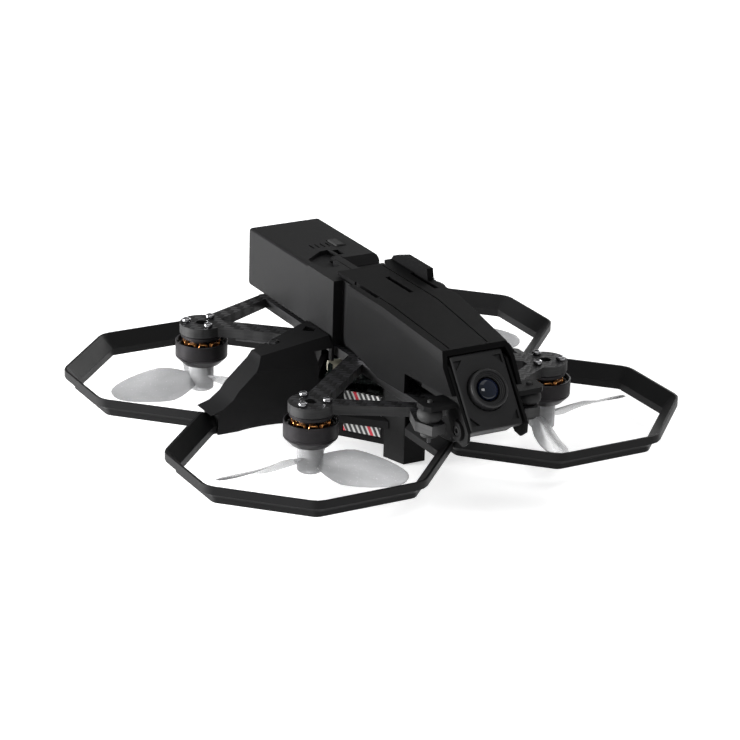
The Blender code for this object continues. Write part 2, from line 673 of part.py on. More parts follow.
# battery sleeve
sleeve = box((-SLEEVE_HALF, SLEEVE_FRONT, 9.0), (SLEEVE_HALF, BATTERY_SEAM, SLEEVE_TOP))
tunnel = box((-PLUG_HALF - GAP, SLEEVE_FRONT + 0.6, 14.7), (PLUG_HALF + GAP, BATTERY_SEAM + 1.0, 30.8))
sleeve = combine(sleeve, tunnel, "DIFFERENCE")
saddle = box((-PLATE_HALF - GAP, -1.0, 5.0), (PLATE_HALF + GAP, 30.0, PLATE_HIGH + GAP))
sleeve = combine(sleeve, saddle, "DIFFERENCE")
sleeve = combine(sleeve, box((-20.0, 2.6, 5.0), (20.0, 30.0, PLATE_HIGH + GAP)), "DIFFERENCE")
bulkhead = box((-10.0, -7.9, PLATE_HIGH + GAP), (10.0, SLEEVE_FRONT + 0.6, 34.8))
bulkhead = combine(bulkhead, box((-8.4, -6.3, 12.0), (8.4, -4.6, 32.0)), "DIFFERENCE")
sleeve = combine(sleeve, bulkhead, "UNION")
sleeve = combine(sleeve, box((-5.9, -4.3, 17.8), (5.9, 3.0, 26.4)), "DIFFERENCE")
pocket = box((-3.2, -2.0, 31.8), (20.0, 30.0, 40.0))
sleeve = combine(sleeve, pocket, "DIFFERENCE")
scoop = prism_z([(-10.6, 18.0), (-10.4, 13.2), (-7.6, 12.4), (-4.6, 12.4), (-4.6, 18.0)], 33.2, 40.0)
sleeve = combine(sleeve, scoop, "DIFFERENCE")
place("battery_sleeve", bevelled(sleeve, 0.35, 1), BLACK)

# battery pack: case, cells, contact block and the power button
case = box((-BATTERY_HALF, BATTERY_SEAM + GAP, BATTERY_LOW), (BATTERY_HALF, BATTERY_REAR, BATTERY_TOP))
case = bevelled(case, 1.1, 3)
plug = box((-PLUG_HALF, 2.2, BATTERY_LOW), (PLUG_HALF, BATTERY_SEAM + 3.0, 30.4))
case = combine(case, plug, "UNION")
facet = prism_x([(20.6, 34.3), (20.6, 40.0), (10.0, 40.0), (10.0, 31.8), (17.75, 31.8)], -3.0, 20.0)
case = combine(case, facet, "DIFFERENCE")
scoop = prism_z([(-10.4, 15.0), (-10.0, 23.4), (-3.2, 28.6), (-0.3, 29.0), (0.6, 26.4), (0.5, 20.0), (-3.0, 15.0)],
                32.9, 40.0)
case = combine(case, scoop, "DIFFERENCE")
cavity = box((-11.4, 21.0, 16.3), (11.4, 58.0, 30.6))
mouth = box((-6.3, 0.0, 17.4), (6.3, 30.0, 26.6))
case = combine(case, combine(cavity, mouth, "UNION"), "DIFFERENCE")
button_well = box((3.6, 30.6, 32.2), (7.4, 37.4, 40.0))
case = combine(case, button_well, "DIFFERENCE")
slots = bmesh.new()
for step in range(4):
    spot = -3.0 + 1.9 * step - 0.6
    append_mesh(slots, box((spot, 32.0, 33.7), (spot + 0.6, 35.4, 40.0)))
append_mesh(slots, box((0.9, 23.6, 33.0), (3.0, 28.0, 40.0)))
case = combine(case, slots, "DIFFERENCE")
latch_room = box((-3.0, 14.0, 31.4), (0.9, 22.6, 40.0))
case = combine(case, latch_room, "DIFFERENCE")
place("battery_case", case, PACK)
cells = box((-7.0, 21.4, 17.0), (7.0, 22.4, 30.0))
for step in range(4):
    low = 16.6 + 3.45 * step
    cells = combine(cells, box((-11.0, 21.9, low), (11.0, 57.6, low + 3.1)), "UNION")
place("battery_cells", cells, ALLOY)
place("battery_contacts", box((-5.9, 2.6, 17.8), (5.9, 18.0, 26.2)), GOLD)
button = box((3.95, 30.95, 33.35), (7.05, 37.05, 34.75))
place("power_button", bevelled(button, 0.3, 2), BLACK)

# release latch in the sleeve
latch = box((-2.85, 4.9, 33.2), (0.6, 22.3, 34.6))
place("release_latch", bevelled(latch, 0.4, 2), BLACK)

# canopy lid and hood
def hood_section(y, inset):
    """Return the canopy outline at one station, offset inwards by the wall thickness."""
    share = max(0.0, (BEND_Y - y) / (BEND_Y - RIM_Y))
    top = LID_Z + (RIM_Z - LID_Z) * share - inset
    lid = LID_HALF + (RIM_HALF - LID_HALF) * share - inset * 0.75
    wall = WALL_HALF + (12.2 - WALL_HALF) * share - inset
    low = 33.9 + (29.4 - 33.9) * share - inset * 0.4
    half = [(-wall, 8.0), (-wall, low), (-lid, top)]
    return half + [(-px, pz) for px, pz in reversed(half)]


def hood_loft(inset, rear):
    """Loft the canopy sections from the rear edge to beyond the rim."""
    bm = bmesh.new()
    rows = []
    for y in (rear, BEND_Y, -74.0):
        rows.append([bm.verts.new((px, y, pz)) for px, pz in hood_section(y, inset)])
    for first, second in zip(rows, rows[1:]):
        for index in range(6):
            after = (index + 1) % 6
            bm.faces.new((first[index], first[after], second[after], second[index]))
    bm.faces.new(rows[0])
    bm.faces.new(rows[-1])
    return bm


side = [(8.0, 40.0), (-55.2, 40.0), (-60.4, 32.9), (-68.3, 21.9), (-64.9, 21.0), (-43.5, 20.4), (-43.5, 14.1),
        (-29.0, 14.1), (-10.0, 17.9), (8.0, 17.9)]
canopy = combine(hood_loft(0.0, 8.0), prism_x(side, -30.0, 30.0), "INTERSECT")
canopy = combine(canopy, hood_loft(1.3, 20.0), "DIFFERENCE")
tail = prism_z([(-30.0, 30.0), (-30.0, -8.2), (-9.95, -8.2), (-9.95, 4.4), (8.4, 4.4), (8.4, 30.0)], 0.0, 50.0)
canopy = combine(canopy, tail, "DIFFERENCE")
canopy = combine(canopy, box((-30.0, -8.2, 0.0), (30.0, 30.0, LID_Z - 1.2)), "DIFFERENCE")
rib = prism_x([(8.0, 35.6), (8.0, 36.5), (7.0, 37.8), (0.4, 39.9), (-13.6, 39.9), (-14.5, 36.0), (-14.5, 35.6)],
              10.9, 13.1)
canopy = combine(canopy, rib, "UNION")
marks = bmesh.new()
for x in (-10.2, 1.3, 10.3):
    if x < 5.0:
        append_mesh(marks, box((x - 0.75, -21.4, 30.0), (x + 0.75, -6.4, 40.0)))
    else:
        append_mesh(marks, box((x - 1.05, -21.4, 30.0), (x + 0.45, -6.4, 36.9)))
canopy = combine(canopy, marks, "DIFFERENCE")
grooves = bmesh.new()
for rear_x, front_x, rear_y in ((-9.9, -8.0, -22.0), (5.4, 4.9, 20.0)):
    points = [(rear_x - 0.2, rear_y), (rear_x + 0.2, rear_y), (rear_x + 0.2, BEND_Y), (front_x + 0.2, -59.5),
              (front_x - 0.2, -59.5), (rear_x - 0.2, BEND_Y)]
    low = [grooves.verts.new((px, py, 35.95 if py > -50.0 else RIM_Z - 0.4)) for px, py in points]
    high = [grooves.verts.new((px, py, 45.0)) for px, py in points]
    for index in range(6):
        after = (index + 1) % 6
        grooves.faces.new((low[index], low[after], high[after], high[index]))
    grooves.faces.new((low[0], low[1], low[2], low[5]))
    grooves.faces.new((low[2], low[3], low[4], low[5]))
    grooves.faces.new((high[0], high[1], high[2], high[5]))
    grooves.faces.new((high[2], high[3], high[4], high[5]))
canopy = combine(canopy, grooves, "DIFFERENCE")
place("canopy", canopy, BLACK)


# camera: a tilted head on trunnions, its lens, and the cradle that carries it on two dampers
FACE_DOWN = Vector((0.0, -math.sin(TILT), -math.cos(TILT)))
FACE_OUT = Vector((0.0, -math.cos(TILT), math.sin(TILT)))
FACE_TOP = Vector((0.0, CAMERA_TOP_Y, CAMERA_TOP_Z))
PIVOT = FACE_TOP + FACE_DOWN * PIVOT_DOWN - FACE_OUT * PIVOT_BACK


def tilted(bm):
    """Carry a bmesh from (across, down the face, out of the face) into the frame."""
    for vert in bm.verts:
        across, down, out = vert.co
        vert.co = FACE_TOP + FACE_DOWN * down + FACE_OUT * out + Vector((across, 0.0, 0.0))
    bmesh.ops.recalc_face_normals(bm, faces=bm.faces)
    return bm


head = bevelled(box((-CAMERA_HALF, 0.0, -2.6), (CAMERA_HALF, 23.4, 0.0)), 0.7, 2)
head = combine(head, box((-8.0, 2.4, -9.4), (8.0, 22.6, -2.0)), "UNION")
notches = bmesh.new()
for side in (-1, 1):
    for top in (-1, 1):
        corner = [(7.9 * side, 11.7 + top * 9.9), (7.9 * side, 11.7 + top * 7.0), (5.2 * side, 11.7 + top * 9.9)]
        append_mesh(notches, prism_z(corner, -0.9, 2.0))
head = combine(head, notches, "DIFFERENCE")
head = combine(head, rod(6.4, -1.5, 2.0, (0.0, LENS_DOWN, 0.0), 22), "DIFFERENCE")
head = combine(head, rod(1.5, -10.95, 10.95, (0.0, PIVOT_DOWN, -PIVOT_BACK), 16, "X"), "UNION")
for side in (-1, 1):
    bore = rod(0.85, -1.2, 1.2, (11.0 * side, PIVOT_DOWN, -PIVOT_BACK), 6, "X")
    head = combine(head, bore, "DIFFERENCE")
place("camera_head", tilted(head), LENS)
barrel = lathe([(3.7, -1.2), (6.05, -1.2), (6.05, 2.0), (5.5, 2.6), (5.1, 2.6), (4.7, 1.9), (3.9, 1.4), (3.7, 0.9)],
               (0.0, LENS_DOWN, 0.0), 24)
place("lens_barrel", tilted(barrel), LENS)
glass = spin([(0.0, -1.0), (3.3, -1.0), (3.35, 0.9), (2.8, 1.5), (1.6, 1.95), (0.0, 2.1)], (0.0, LENS_DOWN, 0.0), 20)
place("lens_glass", tilted(glass), GLASS)
for name in ("camera_head", "lens_barrel", "lens_glass"):
    set_origin(bpy.data.objects[name], 0.0, PIVOT.y, PIVOT.z)

cheek = [(-48.4, 19.6), (-53.5, 19.6), (-58.6, 27.6), (-60.6, 29.0), (-62.6, 28.6), (-75.4, 12.6), (-75.2, 9.6),
         (-72.6, 7.6), (-69.4, 8.0), (-64.6, 12.6), (-59.4, 17.6), (-48.4, 17.6)]
lug = [(10.0, -61.2), (18.6, -61.2), (20.2, -63.0), (20.2, -66.8), (18.6, -68.6), (10.0, -68.6)]
cradle = box((-10.15, -50.6, 17.6), (10.15, -48.4, 19.6))
for side in (-1, 1):
    wall = prism_x(cheek, 9.25, 10.15)
    wall = combine(wall, rod(3.0, 10.0, 11.2, (0.0, PIVOT.y, PIVOT.z), 18, "X"), "UNION")
    wall = combine(wall, prism_z(lug, 18.2, 19.8), "UNION")
    wall = combine(wall, rod(1.1, 17.0, 21.0, (16.7, DAMPER_Y, 0.0), 12), "DIFFERENCE")
    wall = combine(wall, rod(1.6, 5.0, 15.0, (0.0, PIVOT.y, PIVOT.z), 16, "X"), "DIFFERENCE")
    cradle = combine(cradle, flipped(wall, side, 1), "UNION")
place("camera_cradle", cradle, BLACK)

# rubber damping balls, held by their necks in the ears of the carbon plate
ball = [(0.0, 7.2), (0.6, 7.2), (0.6, 9.4), (2.6, 9.6), (2.6, 10.4), (1.9, 10.5), (1.9, 14.2), (2.8, 14.3),
        (3.75, 15.6), (3.6, 17.0), (2.4, 17.9), (0.8, 17.9), (0.8, 20.4), (0.0, 20.4)]
for label, side in (("right", -1), ("left", 1)):
    place("damper_ball_" + label, spin(ball, (side * 16.7, DAMPER_Y, 0.0), 14), RUBBER)

# electronics: two stacked boards on posts in the tray, the rest under the canopy
def circuit(low, posts_low, posts_high, parts):
    """Return a square board turned by an eighth, with its posts and its parts, as one body."""
    bm = box((-11.4, -11.4, low), (11.4, 11.4, low + 1.2))
    for x, y in ((-8.8, 0.0), (8.8, 0.0), (0.0, -8.8), (0.0, 8.8)):
        bm = combine(bm, rod(1.6, posts_low, posts_high, (x, y, 0.0), 8), "UNION")
    for x, y, half_x, half_y, height in parts:
        block = box((x - half_x, y - half_y, low + 0.8), (x + half_x, y + half_y, low + 1.2 + height))
        bm = combine(bm, block, "UNION")
    bmesh.ops.rotate(bm, verts=bm.verts, matrix=Matrix.Rotation(math.radians(45.0), 3, "Z"))
    return bm


drivers = [(x, y, 2.2, 2.2, 1.4) for x in (-8.2, 8.2) for y in (-8.2, 8.2)]
place("speed_controller", circuit(-6.0, -9.9, -0.2, drivers + [(0.0, 0.0, 2.6, 2.6, 1.2)]), BOARD)
plugs = [(x, y, 2.8, 2.8, 3.4) for x in (-7.8, 7.8) for y in (-7.8, 7.8)]
place("flight_controller", circuit(3.9, 0.1, 10.5, plugs + [(0.0, 0.0, 3.4, 3.4, 1.1)]), BOARD)
video = box((-9.6, -34.4, PLATE_HIGH + 0.4), (9.6, -9.4, 27.0))
for step in range(5):
    y = -32.4 + 4.9 * step
    video = combine(video, box((-9.0, y, 26.0), (9.0, y + 1.6, 30.0)), "UNION")
place("video_unit", video, ALLOY)
place("capacitor", rod(4.0, -7.0, 7.0, (0.0, -40.6, 18.4), 20, "X", 0.5), WIRE)
radio = box((-6.0, -28.0, 30.3), (6.0, -12.0, 31.4))
place("receiver", combine(radio, box((-3.6, -25.0, 31.0), (3.6, -17.0, 33.2)), "UNION"), BOARD)
place("power_socket", bevelled(box((-5.5, -4.0, 18.2), (5.5, 1.8, 26.0)), 0.4, 1), GOLD)
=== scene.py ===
"""Looks of the ducted racing drone: finer pieces, procedural materials, studio light and camera.

Lengths are in millimetres inside the helpers and turned into metres where meshes are made.
Heights named by the CAD start at the top of the propeller guards.
"""

import json
import math

import bmesh
import bpy
from mathutils import Matrix, Vector

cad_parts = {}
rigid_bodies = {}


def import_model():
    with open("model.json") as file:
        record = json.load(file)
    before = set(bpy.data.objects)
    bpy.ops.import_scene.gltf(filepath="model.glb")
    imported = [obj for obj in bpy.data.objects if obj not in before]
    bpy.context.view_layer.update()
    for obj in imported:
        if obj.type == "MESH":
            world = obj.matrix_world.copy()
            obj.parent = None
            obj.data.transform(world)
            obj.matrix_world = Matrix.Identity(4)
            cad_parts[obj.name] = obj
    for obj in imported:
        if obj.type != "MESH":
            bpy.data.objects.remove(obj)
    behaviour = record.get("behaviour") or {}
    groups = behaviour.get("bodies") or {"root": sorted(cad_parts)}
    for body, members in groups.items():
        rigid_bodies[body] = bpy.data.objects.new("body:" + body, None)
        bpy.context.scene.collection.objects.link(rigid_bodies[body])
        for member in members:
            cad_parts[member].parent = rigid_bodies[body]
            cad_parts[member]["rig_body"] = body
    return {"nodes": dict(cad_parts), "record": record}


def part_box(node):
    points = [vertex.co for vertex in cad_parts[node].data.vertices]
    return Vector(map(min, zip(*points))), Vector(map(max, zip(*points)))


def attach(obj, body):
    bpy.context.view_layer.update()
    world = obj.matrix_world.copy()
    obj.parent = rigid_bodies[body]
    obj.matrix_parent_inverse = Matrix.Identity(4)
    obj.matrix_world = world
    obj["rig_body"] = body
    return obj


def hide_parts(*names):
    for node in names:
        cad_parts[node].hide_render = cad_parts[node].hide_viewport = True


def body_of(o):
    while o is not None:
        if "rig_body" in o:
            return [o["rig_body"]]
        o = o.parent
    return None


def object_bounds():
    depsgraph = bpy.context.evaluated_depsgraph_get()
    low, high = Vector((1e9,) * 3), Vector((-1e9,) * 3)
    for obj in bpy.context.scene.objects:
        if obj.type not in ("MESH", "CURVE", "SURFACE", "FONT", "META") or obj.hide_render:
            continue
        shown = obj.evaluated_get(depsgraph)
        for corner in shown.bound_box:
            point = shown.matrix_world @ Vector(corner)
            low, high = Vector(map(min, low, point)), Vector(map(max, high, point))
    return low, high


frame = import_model()
cad_box = [list(corner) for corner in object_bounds()]
low, high = (Vector(corner) for corner in cad_box)

MM = 0.001
MOTOR_X = 40.2
MOTOR_Y = 36.5
PROP_PITCH = 63.5
guard_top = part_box("guard_front_left")[1][2] / MM
JOINTS = {joint["name"]: joint for joint in frame["record"]["behaviour"]["joints"]}
FRAME_SHIFT = Vector((0.0, JOINTS["rotor_front_left_spin"]["pos_m"][1] / MM + MOTOR_Y, guard_top))
CORNERS = (("front_right", -1, -1, -55.0), ("front_left", 1, -1, 5.0),
           ("rear_right", -1, 1, -175.0), ("rear_left", 1, 1, -28.0))


# ---------------------------------------------------------------- materials
def new_material(name):
    """Return a material with its node tree, shader and a coordinate node."""
    made = bpy.data.materials.new(name)
    made.use_nodes = True
    tree = made.node_tree
    shader = tree.nodes["Principled BSDF"]
    coords = tree.nodes.new("ShaderNodeTexCoord")
    return made, tree, shader, coords


def node(tree, kind, **values):
    """Add a node; values set its properties."""
    made = tree.nodes.new(kind)
    for key, value in values.items():
        setattr(made, key, value)
    return made


def math_node(tree, operation, first, second=None):
    """Add a math node fed by sockets or numbers."""
    made = node(tree, "ShaderNodeMath", operation=operation)
    for index, value in enumerate((first, second)):
        if value is None:
            continue
        if isinstance(value, (int, float)):
            made.inputs[index].default_value = value
        else:
            tree.links.new(value, made.inputs[index])
    return made.outputs[0]


def noise(tree, coords, scale, detail=3.0, stretch=None, rough=0.55):
    """Add a noise texture in object space and return its factor."""
    source = coords.outputs["Object"]
    if stretch:
        mapping = node(tree, "ShaderNodeMapping")
        mapping.inputs["Scale"].default_value = stretch
        tree.links.new(source, mapping.inputs["Vector"])
        source = mapping.outputs["Vector"]
    texture = node(tree, "ShaderNodeTexNoise")
    texture.inputs["Scale"].default_value = scale
    texture.inputs["Detail"].default_value = detail
    texture.inputs["Roughness"].default_value = rough
    tree.links.new(source, texture.inputs["Vector"])
    return texture.outputs["Fac"]


def ramp(tree, factor, stops):
    """Map a factor through a colour ramp given as (place, colour) pairs."""
    made = node(tree, "ShaderNodeValToRGB")
    elements = made.color_ramp.elements
    while len(elements) < len(stops):
        elements.new(0.5)
    for element, (place, colour) in zip(elements, stops):
        element.position = place
        element.color = (*colour, 1.0) if len(colour) == 3 else colour
    tree.links.new(factor, made.inputs["Fac"])
    return made.outputs["Color"]


def spread(tree, factor, low_value, high_value):
    """Map a factor from 0..1 to a range."""
    made = node(tree, "ShaderNodeMapRange")
    made.inputs["To Min"].default_value = low_value
    made.inputs["To Max"].default_value = high_value
    tree.links.new(factor, made.inputs["Value"])
    return made.outputs["Result"]


def bump(tree, shader, height, strength, distance):
    """Drive the shader's normal from a height."""
    made = node(tree, "ShaderNodeBump")
    made.inputs["Strength"].default_value = strength
    made.inputs["Distance"].default_value = distance
    tree.links.new(height, made.inputs["Height"])
    tree.links.new(made.outputs["Normal"], shader.inputs["Normal"])
    return made


def moulded(name, dark, light, rough, grain=2600.0, strength=0.25, specular=0.5):
    """Moulded plastic: fine spark-eroded grain, uneven sheen, faint rubbed patches."""
    made, tree, shader, coords = new_material(name)
    fine = noise(tree, coords, grain, 2.0)
    broad = noise(tree, coords, 55.0, 4.0)
    colour = ramp(tree, broad, ((0.3, dark), (0.75, light)))
    scuff = noise(tree, coords, 260.0, 6.0, rough=0.75)
    patchy = ramp(tree, scuff, ((0.6, (0.0, 0.0, 0.0)), (0.82, (0.35, 0.35, 0.35))))
    rubbed = node(tree, "ShaderNodeMix", data_type="RGBA")
    tree.links.new(patchy, rubbed.inputs[0])
    tree.links.new(colour, rubbed.inputs[6])
    rubbed.inputs[7].default_value = (*(part * 2.2 for part in light), 1.0)
    tree.links.new(rubbed.outputs[2], shader.inputs["Base Color"])
    tree.links.new(spread(tree, broad, rough - 0.07, rough + 0.09), shader.inputs["Roughness"])
    shader.inputs["Specular IOR Level"].default_value = specular
    bump(tree, shader, fine, strength, 0.00005)
    return made


def carbon():
    """Woven carbon laminate: twill on the flat faces, plain ground edges."""
    made, tree, shader, coords = new_material("carbon_twill")
    split = node(tree, "ShaderNodeSeparateXYZ")
    turn = node(tree, "ShaderNodeMapping")
    turn.inputs["Rotation"].default_value = (0.0, 0.0, math.radians(45.0))
    turn.inputs["Scale"].default_value = (620.0, 620.0, 620.0)
    tree.links.new(coords.outputs["Object"], turn.inputs["Vector"])
    tree.links.new(turn.outputs["Vector"], split.inputs["Vector"])
    across = math_node(tree, "FLOOR", split.outputs["X"])
    along = math_node(tree, "FLOOR", split.outputs["Y"])
    step = math_node(tree, "FRACT", math_node(tree, "DIVIDE", math_node(tree, "ADD", across, along), 4.0))
    over = math_node(tree, "LESS_THAN", step, 0.49)
    in_warp = math_node(tree, "FRACT", split.outputs["X"])
    in_weft = math_node(tree, "FRACT", split.outputs["Y"])
    warp = math_node(tree, "SINE", math_node(tree, "MULTIPLY", in_warp, math.pi))
    weft = math_node(tree, "SINE", math_node(tree, "MULTIPLY", in_weft, math.pi))
    height = node(tree, "ShaderNodeMix", data_type="FLOAT")
    tree.links.new(over, height.inputs[0])
    tree.links.new(warp, height.inputs[2])
    tree.links.new(weft, height.inputs[3])
    tows = ramp(tree, over, ((0.0, (0.002, 0.002, 0.0022)), (1.0, (0.016, 0.016, 0.0172))))
    geometry = node(tree, "ShaderNodeNewGeometry")
    facing = node(tree, "ShaderNodeSeparateXYZ")
    tree.links.new(geometry.outputs["Normal"], facing.inputs["Vector"])
    flat = math_node(tree, "GREATER_THAN", math_node(tree, "ABSOLUTE", facing.outputs["Z"]), 0.7)
    layers = noise(tree, coords, 900.0, 3.0, (0.15, 0.15, 6.0))
    ground = ramp(tree, layers, ((0.3, (0.008, 0.008, 0.0083)), (0.7, (0.022, 0.022, 0.0225))))
    shown = node(tree, "ShaderNodeMix", data_type="RGBA")
    tree.links.new(flat, shown.inputs[0])
    tree.links.new(ground, shown.inputs[6])
    tree.links.new(tows, shown.inputs[7])
    tree.links.new(shown.outputs[2], shader.inputs["Base Color"])
    tree.links.new(spread(tree, over, 0.52, 0.3), shader.inputs["Roughness"])
    shader.inputs["Specular IOR Level"].default_value = 0.3
    bump(tree, shader, math_node(tree, "MULTIPLY", height.outputs[0], flat), 0.5, 0.00012)
    return made


def metal(name, colour, rough, grain=900.0, stretch=(1.0, 1.0, 12.0), strength=0.15, metallic=1.0):
    """Machined or plated metal with fine tool marks."""
    made, tree, shader, coords = new_material(name)
    marks = noise(tree, coords, grain, 3.0, stretch)
    stain = noise(tree, coords, 130.0, 4.0)
    dark = tuple(part * 0.72 for part in colour)
    tree.links.new(ramp(tree, stain, ((0.3, dark), (0.7, colour))), shader.inputs["Base Color"])
    tree.links.new(spread(tree, marks, rough - 0.08, rough + 0.12), shader.inputs["Roughness"])
    shader.inputs["Metallic"].default_value = metallic
    bump(tree, shader, marks, strength, 0.00004)
    return made


def smoke():
    """Clear smoky polycarbonate of the propellers, with flow lines and fine scratches."""
    made, tree, shader, coords = new_material("smoke_polycarbonate")
    flow = noise(tree, coords, 90.0, 4.0, (1.0, 1.0, 5.0))
    scratch = noise(tree, coords, 1600.0, 3.0, (8.0, 0.6, 1.0))
    tree.links.new(ramp(tree, flow, ((0.2, (0.42, 0.423, 0.43)), (0.8, (0.62, 0.623, 0.63)))),
                   shader.inputs["Base Color"])
    tree.links.new(spread(tree, scratch, 0.12, 0.34), shader.inputs["Roughness"])
    shader.inputs["Transmission Weight"].default_value = 0.6
    shader.inputs["IOR"].default_value = 1.32
    bump(tree, shader, scratch, 0.08, 0.00004)
    return made


def board():
    """Dark solder-masked circuit board with faint copper under the mask."""
    made, tree, shader, coords = new_material("solder_mask")
    cells = node(tree, "ShaderNodeTexVoronoi", feature="DISTANCE_TO_EDGE")
    cells.inputs["Scale"].default_value = 520.0
    tree.links.new(coords.outputs["Object"], cells.inputs["Vector"])
    stops = ((0.04, (0.03, 0.045, 0.04)), (0.09, (0.008, 0.012, 0.011)))
    tracks = ramp(tree, cells.outputs["Distance"], stops)
    tree.links.new(tracks, shader.inputs["Base Color"])
    tree.links.new(spread(tree, noise(tree, coords, 300.0), 0.3, 0.5), shader.inputs["Roughness"])
    bump(tree, shader, cells.outputs["Distance"], 0.2, 0.00005)
    return made


def stripes():
    """Printed panel: black ground, white diagonal bands and a red band now and then."""
    made, tree, shader, coords = new_material("striped_panel")
    split = node(tree, "ShaderNodeSeparateXYZ")
    tree.links.new(coords.outputs["Object"], split.inputs["Vector"])
    slant = math_node(tree, "ADD", math_node(tree, "MULTIPLY", split.outputs["Y"], -1250.0),
                      math_node(tree, "MULTIPLY", split.outputs["Z"], 480.0))
    band = math_node(tree, "FRACT", math_node(tree, "MULTIPLY", slant, 0.6))
    white = math_node(tree, "GREATER_THAN", band, 0.58)
    place = math_node(tree, "FRACT", math_node(tree, "MULTIPLY", slant, 0.105))
    away = math_node(tree, "ABSOLUTE", math_node(tree, "SUBTRACT", place, 0.5))
    red = math_node(tree, "LESS_THAN", away, 0.06)
    base = ramp(tree, white, ((0.0, (0.015, 0.015, 0.016)), (1.0, (0.5, 0.5, 0.49))))
    shown = node(tree, "ShaderNodeMix", data_type="RGBA")
    tree.links.new(red, shown.inputs[0])
    tree.links.new(base, shown.inputs[6])
    shown.inputs[7].default_value = (0.45, 0.012, 0.03, 1.0)
    tree.links.new(shown.outputs[2], shader.inputs["Base Color"])
    tree.links.new(spread(tree, noise(tree, coords, 700.0), 0.3, 0.5), shader.inputs["Roughness"])
    return made


def rubber(name, colour, rough=0.75):
    """Soft rubber with a dusty, slightly pitted skin."""
    made, tree, shader, coords = new_material(name)
    pits = noise(tree, coords, 1900.0, 3.0)
    dust = noise(tree, coords, 260.0, 5.0, rough=0.7)
    light = tuple(part * 1.9 + 0.001 for part in colour)
    tree.links.new(ramp(tree, dust, ((0.35, colour), (0.8, light))), shader.inputs["Base Color"])
    tree.links.new(spread(tree, dust, rough - 0.1, rough + 0.12), shader.inputs["Roughness"])
    bump(tree, shader, pits, 0.3, 0.00005)
    return made


def glass(name, tint, rough=0.03, coat=1.0):
    """Coated optical glass over a dark barrel."""
    made, tree, shader, coords = new_material(name)
    film = node(tree, "ShaderNodeLayerWeight")
    film.inputs["Blend"].default_value = 0.35
    stops = ((0.0, tint), (0.45, (0.006, 0.01, 0.03)), (0.8, (0.015, 0.006, 0.02)))
    colour = ramp(tree, film.outputs["Facing"], stops)
    tree.links.new(colour, shader.inputs["Base Color"])
    dust = noise(tree, coords, 1200.0, 2.0)
    tree.links.new(spread(tree, dust, rough, rough + 0.05), shader.inputs["Roughness"])
    shader.inputs["Coat Weight"].default_value = coat
    shader.inputs["Coat Roughness"].default_value = 0.02
    shader.inputs["Specular IOR Level"].default_value = 0.35
    return made


SHELL = moulded("shell_plastic", (0.0038, 0.0038, 0.004), (0.0056, 0.0056, 0.006), 0.5, specular=0.11)
LID = moulded("canopy_plastic", (0.002, 0.002, 0.0021), (0.0032, 0.0032, 0.0034), 0.52, specular=0.05)
PACK = moulded("battery_plastic", (0.0042, 0.0042, 0.0044), (0.0062, 0.0062, 0.0066), 0.54,
               2000.0, 0.35, 0.12)
GUARD = moulded("guard_plastic", (0.0036, 0.0036, 0.0038), (0.0054, 0.0054, 0.0057), 0.48, 3000.0, 0.2, 0.13)
DARK = moulded("inner_plastic", (0.002, 0.002, 0.0021), (0.0035, 0.0035, 0.0037), 0.6, specular=0.1)
HEAD = moulded("camera_plastic", (0.0075, 0.0075, 0.008), (0.0115, 0.0115, 0.012), 0.42, 3400.0, 0.2, 0.3)
CREAM = moulded("connector_cream", (0.42, 0.40, 0.31), (0.56, 0.53, 0.42), 0.45, 2200.0, 0.15)
CARBON = carbon()
BELL = metal("bell_anodised", (0.03, 0.028, 0.03), 0.4, 700.0, (1.0, 1.0, 14.0), 0.12, 0.85)
COPPER = metal("enamelled_copper", (0.62, 0.27, 0.09), 0.3, 1500.0, (1.0, 1.0, 4.0), 0.1)
ALLOY = metal("bead_blasted_alloy", (0.33, 0.33, 0.345), 0.42, 2200.0, (1.0, 1.0, 1.0), 0.3)
STEEL = metal("screw_steel", (0.3, 0.3, 0.31), 0.2, 1500.0, (1.0, 1.0, 6.0), 0.12)
BLUED = metal("screw_blackened", (0.05, 0.05, 0.052), 0.3, 1500.0, (1.0, 1.0, 6.0), 0.12)
MAGNET = metal("magnet_nickel", (0.6, 0.59, 0.57), 0.25)
GOLD = metal("contact_gold", (0.78, 0.55, 0.2), 0.3)
SMOKE = smoke()
BOARD = board()
STRIPES = stripes()
RUBBER = rubber("damper_rubber", (0.0022, 0.0022, 0.0024))
WIRE = rubber("silicone_wire", (0.02, 0.02, 0.021), 0.5)
GLASS = glass("lens_coating", (0.001, 0.004, 0.009), 0.02, 0.1)


# ---------------------------------------------------------------- mesh helpers
def place(name, bm, material, body, replaced=(), slot=None, angle=32.0, shifted=True):
    """Turn a millimetre bmesh into a piece that rides on a body."""
    bmesh.ops.remove_doubles(bm, verts=bm.verts, dist=0.0008)
    bmesh.ops.recalc_face_normals(bm, faces=bm.faces)
    shift = FRAME_SHIFT if shifted else Vector()
    for vert in bm.verts:
        vert.co = (vert.co + shift) * MM
    mesh = bpy.data.meshes.new(name)
    bm.to_mesh(mesh)
    bm.free()
    mesh.shade_smooth()
    mesh.set_sharp_from_angle(angle=math.radians(angle))
    mesh.materials.append(material)
    piece = bpy.data.objects.new(name, mesh)
    bpy.context.scene.collection.objects.link(piece)
    even = piece.modifiers.new("even_normals", "WEIGHTED_NORMAL")
    even.keep_sharp = True
    even.weight = 60
    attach(piece, body)
    if replaced:
        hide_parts(*replaced)
    return piece


def drawn_area(bm):
    """Return the area of a bmesh as its faces are drawn."""
    total = 0.0
    for first, second, third in bm.calc_loop_triangles():
        edge = second.vert.co - first.vert.co
        total += edge.cross(third.vert.co - first.vert.co).length / 2.0
    return total


